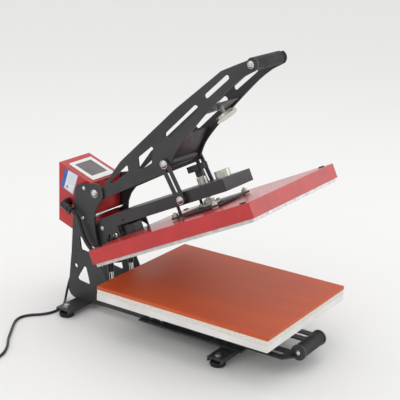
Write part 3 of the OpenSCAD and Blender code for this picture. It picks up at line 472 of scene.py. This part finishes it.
def makePlug():
    # a three-pin moulded plug with a waisted body, lying beside the coil with its pins towards -Y
    low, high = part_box("cord_plug")
    sleeveLength = plug["sleeve"] * mm
    bodyLength, bodyWidth, bodyHeight = (v * mm for v in plug["body"])
    centre = Vector(((low.x + high.x) / 2, high.y - sleeveLength, plug["axisUp"] * mm))
    lie = Matrix.Translation(centre) @ Matrix.Rotation(-math.pi / 2, 4, "Z")
    bm = bmesh.new()
    bmesh.ops.create_cube(bm, size=1)
    bmesh.ops.scale(bm, vec=(bodyLength, bodyWidth, bodyHeight), verts=bm.verts)
    lengthwise = [e for e in bm.edges if abs(e.verts[0].co.x - e.verts[1].co.x) > bodyLength / 2]
    bmesh.ops.subdivide_edges(bm, edges=lengthwise, cuts=5, use_grid_fill=True)
    for v in bm.verts:
        along = v.co.x / bodyLength + 0.5
        v.co.y *= 0.7 + 0.3 * min(1, along * 1.5) - 0.1 * math.exp(-((along - 0.55) / 0.15) ** 2)
        v.co.z *= 0.8 + 0.2 * min(1, along * 1.6)
    edges = [e for e in bm.edges if e.calc_face_angle() > math.radians(60)]
    bmesh.ops.bevel(bm, geom=edges, offset=plug["corner"] * mm, segments=4,
        profile=0.5, affect="EDGES", material=-1)
    bmesh.ops.translate(bm, vec=(bodyLength / 2, 0, 0), verts=bm.verts)
    bmesh.ops.transform(bm, matrix=lie, verts=bm.verts)
    body = finishPiece(bm, "plug_body", "base", "plug_rubber", ["cord_plug"])
    profile = [(0, 0), (0, 4.2)]
    for i in range(plug["ribs"]):
        d = 1.5 + i * plug["ribPitch"]
        r = plug["sleeveEnd"] + plug["taper"] * d / plug["sleeve"]
        profile += [(d, r), (d + 0.4, r - 0.8), (d + 1.6, r - 0.8), (d + 2.0, r + 0.1)]
    profile += [(plug["sleeve"] + 1, plug["collar"]), (plug["sleeve"] + 1, 0)]
    sleeve = ringsAlong(profile, "plug_sleeve", "base", "plug_rubber", (0, -1, 0),
        centre + Vector((0, sleeveLength, 0)))
    bm = bmesh.new()
    bladeLength, bladeWidth, bladeThick = (v * mm for v in plug["blade"])
    for side in (-1, 1):
        blade = bmesh.ops.create_cube(bm, size=1)["verts"]
        bmesh.ops.scale(bm, vec=(bladeLength, bladeWidth, bladeThick), verts=blade)
        at = (bodyLength + bladeLength / 2 - mm, side * plug["bladeOut"] * mm, plug["bladeUp"] * mm)
        bmesh.ops.translate(bm, vec=at, verts=blade)
    pinLength, pinRadius = plug["pinLength"] * mm, plug["pinRadius"] * mm
    pin = bmesh.ops.create_cone(bm, segments=20, radius1=pinRadius, radius2=pinRadius - 0.2 * mm,
        depth=pinLength, cap_ends=True)["verts"]
    bmesh.ops.rotate(bm, cent=(0, 0, 0), matrix=Matrix.Rotation(math.pi / 2, 3, "Y"), verts=pin)
    bmesh.ops.translate(bm, vec=(bodyLength + pinLength / 2 - mm, 0, -plug["pinDown"] * mm), verts=pin)
    edges = [e for e in bm.edges if e.calc_face_angle() > 1]
    bmesh.ops.bevel(bm, geom=edges, offset=0.35 * mm, segments=2, profile=0.5, affect="EDGES", material=-1)
    bmesh.ops.transform(bm, matrix=lie, verts=bm.verts)
    return [body, sleeve, finishPiece(bm, "plug_pins", "base", "chrome_steel")]


def makeMainsCord():
    spec = mainsCord
    points = smoothThrough([place(*p) for p in spec["route"]], 6)
    points += coilPoints(spec)
    middle = spec["coilMiddle"]
    aside, along, rise = spec["plugMouth"]
    mouth = place(middle[0] + aside, middle[1] + along, rise)
    points += joinTo(points, mouth, Vector((0, -1, 0)))
    total = sum((b - a).length for a, b in zip(points, points[1:]))
    print("mains cord", round(total, 4), "m")
    cord = tubeOf(points, spec["thick"], "mains_lead", "cord_rubber")
    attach(cord, "base")
    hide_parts("mains_cord", "cord_coil")
    pieces = makePlug() + [makeStrainRelief()]


makeMainsCord()
print("cord made")


# the heater lead from the elbow on the box down to the terminal box on the platen
heaterLead = {
    "thick": 11.0,
    "route": [(-88, 427, 278.9), (-88.5, 414, 273.3), (-89, 401, 260), (-90, 389, 233),
        (-90, 373, 203), (-90, 351, 183), (-87, 328, 171), (-79, 310, 164), (-68, 295, 161),
        (-56, 284, 161), (-44, 278, 165), (-34, 279, 176), (-29, 290, 192), (-28.5, 301, 204),
        (-29, 307, 216), (-30, 305, 227), (-30, 298.4, 234), (-30, 288.4, 238.7), (-30, 283.5, 241.1)],
    "staysWithBase": (-40, 290, 180),
    "staysWithArm": (-11.7, 286.2, 198.85),
}


def makeHeaterLead():
    spec = heaterLead
    points = smoothThrough([place(*p) for p in spec["route"]], 8)
    thing = tubeOf(points, spec["thick"], "heater_cable", "cord_rubber")
    bpy.context.view_layer.update()
    mesh = bpy.data.meshes.new_from_object(thing.evaluated_get(bpy.context.evaluated_depsgraph_get()))
    bpy.data.objects.remove(thing)
    cable = bpy.data.objects.new("heater_cable", mesh)
    bpy.context.collection.objects.link(cable)
    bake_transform(cable)
    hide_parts("heater_lead")


makeHeaterLead()
print("heater lead made")


# plain rating label on the box's side, with no wording
label = {
    "corners": [(467, 382), (423, 370), (441, 313), (482, 330)],
    "thick": 0.25,
    "print": 0.05,
    "bars": 5,
    "firstBar": 0.14,
    "barStep": 0.1,
    "barHeight": 0.035,
}


def flatPatch(corners, x, thick, name, material, body):
    bm = bmesh.new()
    face = bm.faces.new([bm.verts.new(place(x, y, z)) for y, z in corners])
    bmesh.ops.recalc_face_normals(bm, faces=[face])
    made = bmesh.ops.extrude_face_region(bm, geom=[face])
    lifted = [g for g in made["geom"] if isinstance(g, bmesh.types.BMVert)]
    bmesh.ops.translate(bm, vec=(-thick * mm, 0, 0), verts=lifted)
    bmesh.ops.recalc_face_normals(bm, faces=bm.faces)
    mesh = bpy.data.meshes.new(name)
    bm.to_mesh(mesh)
    bm.free()
    mesh.materials.append(material)
    thing = bpy.data.objects.new(name, mesh)
    bpy.context.collection.objects.link(thing)
    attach(thing, body)


def inLabel(u, v):  # fractions across and down the label
    a, b, c, d = (Vector(p) for p in label["corners"])
    top, low = a.lerp(b, u), d.lerp(c, u)
    return tuple(top.lerp(low, v))


def labelPatch(u0, u1, v0, v1):
    return [inLabel(u0, v0), inLabel(u1, v0), inLabel(u1, v1), inLabel(u0, v1)]


def makeLabel():
    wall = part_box("box_shell")[0].x / mm - 0.02
    paper = plainPlastic("labelPaper", "#dfe3ea", "#eceef1", 0.3, 4.0, 0.01)
    blue = plainPlastic("labelBlue", "#2b5fae", "#356cbc", 0.3, 4.0, 0.01)
    edge = plainPlastic("labelPaleBlue", "#a9bfe0", "#b5c8e6", 0.3, 4.0, 0.01)
    grey = plainPlastic("labelGrey", "#c3c8cf", "#cdd1d6", 0.35, 4.0, 0.01)
    olive = plainPlastic("labelOlive", "#8f9131", "#a3a33a", 0.35, 4.0, 0.01)
    thick, ink = label["thick"], label["print"]
    flatPatch(labelPatch(0, 1, 0, 1), wall, thick, "label_backing", edge, "base")
    flatPatch(labelPatch(0.0, 0.24, 0, 1), wall - thick, ink, "label_band", blue, "base")
    flatPatch(labelPatch(0.27, 0.95, 0.05, 0.95), wall - thick, ink, "label_panel", paper, "base")
    for i in range(label["bars"]):
        v = label["firstBar"] + i * label["barStep"]
        bar = labelPatch(0.36, 0.86, v, v + label["barHeight"])
        flatPatch(bar, wall - thick - ink, ink - 0.01, "label_bar_%d" % i, grey, "base")
    triangle = [inLabel(0.36, 0.88), inLabel(0.56, 0.88), inLabel(0.46, 0.7)]
    flatPatch(triangle, wall - thick - ink, ink - 0.01, "label_mark", olive, "base")


makeLabel()
print("label made")


# small round hole plug low on the box's left side, in the rocker's red plastic, whose darker red is
# painted shade for the ring around the plug
holePlug = {"y": 455.0, "z": 259.0, "rim": 5.6, "dish": 4.2, "stands": 1.2}


def makeHolePlug():
    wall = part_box("box_shell")[0].x / mm
    rim, dish, stands = (holePlug[k] for k in ("rim", "dish", "stands"))
    profile = [(0.05, 0), (0.05, rim), (stands - 0.4, rim), (stands, rim - 0.5), (stands, dish),
        (0.3, dish - 0.4), (0.3, 0)]
    middle = place(wall, holePlug["y"], holePlug["z"])
    # the plug's darker red paints the shade of its ring on the box's side
    ringsAlong(profile, "hole_plug", "base", "rocker_plastic", (-1, 0, 0), middle)


makeHolePlug()
print("hole plug made")


# studio
studio = {
    "floor": "#f2f2f1",
    "world": 0.88,
    "lights": [
        # name, place, aim, size, power
        ("keySoftbox", (2.2, -2.4, 1.4), (0, 0, 0.3), 2.2, 15),
        ("fillSoftbox", (-2.6, 0.4, 1.8), (0, 0, 0.3), 1.8, 5),
        ("topSoftbox", (0.2, 0.5, 3.0), (0, 0, 0.2), 2.8, 15),
    ],
}


def makeStudio():
    bm = bmesh.new()
    bmesh.ops.create_grid(bm, x_segments=1, y_segments=1, size=40)
    mesh = bpy.data.meshes.new("studioFloor")
    bm.to_mesh(mesh)
    bm.free()
    floor = bpy.data.objects.new("studioFloor", mesh)
    bpy.context.collection.objects.link(floor)
    material, _, shader, _ = newMaterial("studioPaper", 0.75, specular=0.2)
    shader.inputs["Base Color"].default_value = toLinear(studio["floor"])
    mesh.materials.append(material)
    world = bpy.data.worlds.new("studioWorld")
    world.use_nodes = True
    background = world.node_tree.nodes["Background"]
    background.inputs["Color"].default_value = (1, 1, 1, 1)
    background.inputs["Strength"].default_value = studio["world"]
    bpy.context.scene.world = world
    for name, at, aim, size, power in studio["lights"]:
        light = bpy.data.lights.new(name, "AREA")
        light.size = size
        light.energy = power
        thing = bpy.data.objects.new(name, light)
        bpy.context.collection.objects.link(thing)
        thing.location = at
        thing.rotation_euler = (Vector(aim) - Vector(at)).to_track_quat("-Z", "Y").to_euler()
    bpy.context.scene.view_settings.view_transform = "Standard"


makeStudio()
print("studio lit")
